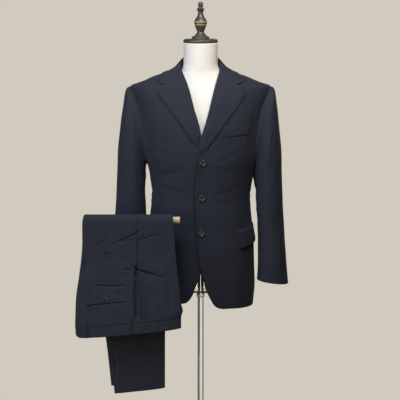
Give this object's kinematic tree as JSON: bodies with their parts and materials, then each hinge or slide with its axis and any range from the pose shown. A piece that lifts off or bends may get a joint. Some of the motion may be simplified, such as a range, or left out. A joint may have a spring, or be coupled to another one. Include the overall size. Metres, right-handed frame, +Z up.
{
  "type": "two-piece suit on a limbless dress form and stand",
  "caption": "Single-breasted suit jacket worn by a limbless dress form on a pole and round base, its matching trousers folded over a wooden rod in front.",
  "frame": {"origin": "middle of the underside of the round base, on the pole's axis", "axes": "+Z up along the pole; -Y is the suit's front; +X is the wearer's left"},
  "size_m": [0.6448, 0.4213, 1.6386],
  "materials": {
    "arm_clamp": "satin black",
    "cuff_button_left_1": "dark horn, glossy",
    "cuff_button_left_2": "dark horn, glossy",
    "cuff_button_left_3": "dark horn, glossy",
    "cuff_button_right_1": "dark horn, glossy",
    "cuff_button_right_2": "dark horn, glossy",
    "cuff_button_right_3": "dark horn, glossy",
    "finial": "satin dark wood, turned",
    "form_torso": "matte ivory linen cover",
    "jacket_back_left": "matte dark navy worsted wool with a faint shadow stripe",
    "jacket_back_lining": "smooth taupe lining",
    "jacket_back_right": "matte dark navy worsted wool with a faint shadow stripe",
    "jacket_breast_welt": "matte dark navy worsted wool with a faint shadow stripe",
    "jacket_button_1": "dark horn, glossy",
    "jacket_button_2": "dark horn, glossy",
    "jacket_button_3": "dark horn, glossy",
    "jacket_collar": "matte dark navy worsted wool with a faint shadow stripe",
    "jacket_front_left": "matte dark navy worsted wool with a faint shadow stripe",
    "jacket_front_right": "matte dark navy worsted wool with a faint shadow stripe",
    "jacket_lapel_left": "matte dark navy worsted wool with a faint shadow stripe",
    "jacket_lapel_right": "matte dark navy worsted wool with a faint shadow stripe",
    "jacket_pocket_flap_left": "matte dark navy worsted wool with a faint shadow stripe",
    "jacket_pocket_flap_right": "matte dark navy worsted wool with a faint shadow stripe",
    "jacket_side_left": "matte dark navy worsted wool with a faint shadow stripe",
    "jacket_side_right": "matte dark navy worsted wool with a faint shadow stripe",
    "jacket_top_sleeve_left": "matte dark navy worsted wool with a faint shadow stripe",
    "jacket_top_sleeve_right": "matte dark navy worsted wool with a faint shadow stripe",
    "jacket_under_sleeve_left": "matte dark navy worsted wool with a faint shadow stripe",
    "jacket_under_sleeve_right": "matte dark navy worsted wool with a faint shadow stripe",
    "neck_cap": "satin dark wood, turned",
    "stand_base": "satin",
    "stand_collar": "polished",
    "stand_pole": "polished",
    "trouser_arm": "satin black",
    "trouser_rod": "satin pale wood",
    "trousers_back_left": "matte dark navy worsted wool with a faint shadow stripe",
    "trousers_back_pocket_left": "matte dark navy worsted wool with a faint shadow stripe",
    "trousers_back_pocket_right": "matte dark navy worsted wool with a faint shadow stripe",
    "trousers_back_right": "matte dark navy worsted wool with a faint shadow stripe",
    "trousers_belt_loop_left_1": "matte dark navy worsted wool with a faint shadow stripe",
    "trousers_belt_loop_left_2": "matte dark navy worsted wool with a faint shadow stripe",
    "trousers_belt_loop_right_1": "matte dark navy worsted wool with a faint shadow stripe",
    "trousers_belt_loop_right_2": "matte dark navy worsted wool with a faint shadow stripe",
    "trousers_front_left": "matte dark navy worsted wool with a faint shadow stripe",
    "trousers_front_right": "matte dark navy worsted wool with a faint shadow stripe",
    "trousers_pocket_button_left": "dark horn, glossy",
    "trousers_pocket_button_right": "dark horn, glossy",
    "trousers_side_pocket_left": "matte dark navy worsted wool with a faint shadow stripe",
    "trousers_side_pocket_right": "matte dark navy worsted wool with a faint shadow stripe",
    "trousers_waistband_left": "matte dark navy worsted wool with a faint shadow stripe",
    "trousers_waistband_right": "matte dark navy worsted wool with a faint shadow stripe"
  },
  "bodies": {
    "root": {"arm_clamp": "arm_clamp", "cuff_button_left_1": "cuff_button_left_1", "cuff_button_left_2": "cuff_button_left_2", "cuff_button_left_3": "cuff_button_left_3", "cuff_button_right_1": "cuff_button_right_1", "cuff_button_right_2": "cuff_button_right_2", "cuff_button_right_3": "cuff_button_right_3", "finial": "finial", "form_torso": "form_torso", "jacket_back_left": "jacket_back_left", "jacket_back_lining": "jacket_back_lining", "jacket_back_right": "jacket_back_right", "jacket_breast_welt": "jacket_breast_welt", "jacket_button_1": "jacket_button_1", "jacket_button_2": "jacket_button_2", "jacket_button_3": "jacket_button_3", "jacket_collar": "jacket_collar", "jacket_front_left": "jacket_front_left", "jacket_front_right": "jacket_front_right", "jacket_lapel_left": "jacket_lapel_left", "jacket_lapel_right": "jacket_lapel_right", "jacket_pocket_flap_left": "jacket_pocket_flap_left", "jacket_pocket_flap_right": "jacket_pocket_flap_right", "jacket_side_left": "jacket_side_left", "jacket_side_right": "jacket_side_right", "jacket_top_sleeve_left": "jacket_top_sleeve_left", "jacket_top_sleeve_right": "jacket_top_sleeve_right", "jacket_under_sleeve_left": "jacket_under_sleeve_left", "jacket_under_sleeve_right": "jacket_under_sleeve_right", "neck_cap": "neck_cap", "stand_base": "stand_base", "stand_collar": "stand_collar", "stand_pole": "stand_pole", "trouser_arm": "trouser_arm", "trouser_rod": "trouser_rod", "trousers_back_left": "trousers_back_left", "trousers_back_pocket_left": "trousers_back_pocket_left", "trousers_back_pocket_right": "trousers_back_pocket_right", "trousers_back_right": "trousers_back_right", "trousers_belt_loop_left_1": "trousers_belt_loop_left_1", "trousers_belt_loop_left_2": "trousers_belt_loop_left_2", "trousers_belt_loop_right_1": "trousers_belt_loop_right_1", "trousers_belt_loop_right_2": "trousers_belt_loop_right_2", "trousers_front_left": "trousers_front_left", "trousers_front_right": "trousers_front_right", "trousers_pocket_button_left": "trousers_pocket_button_left", "trousers_pocket_button_right": "trousers_pocket_button_right", "trousers_side_pocket_left": "trousers_side_pocket_left", "trousers_side_pocket_right": "trousers_side_pocket_right", "trousers_waistband_left": "trousers_waistband_left", "trousers_waistband_right": "trousers_waistband_right"}
  },
  "joints": []
}
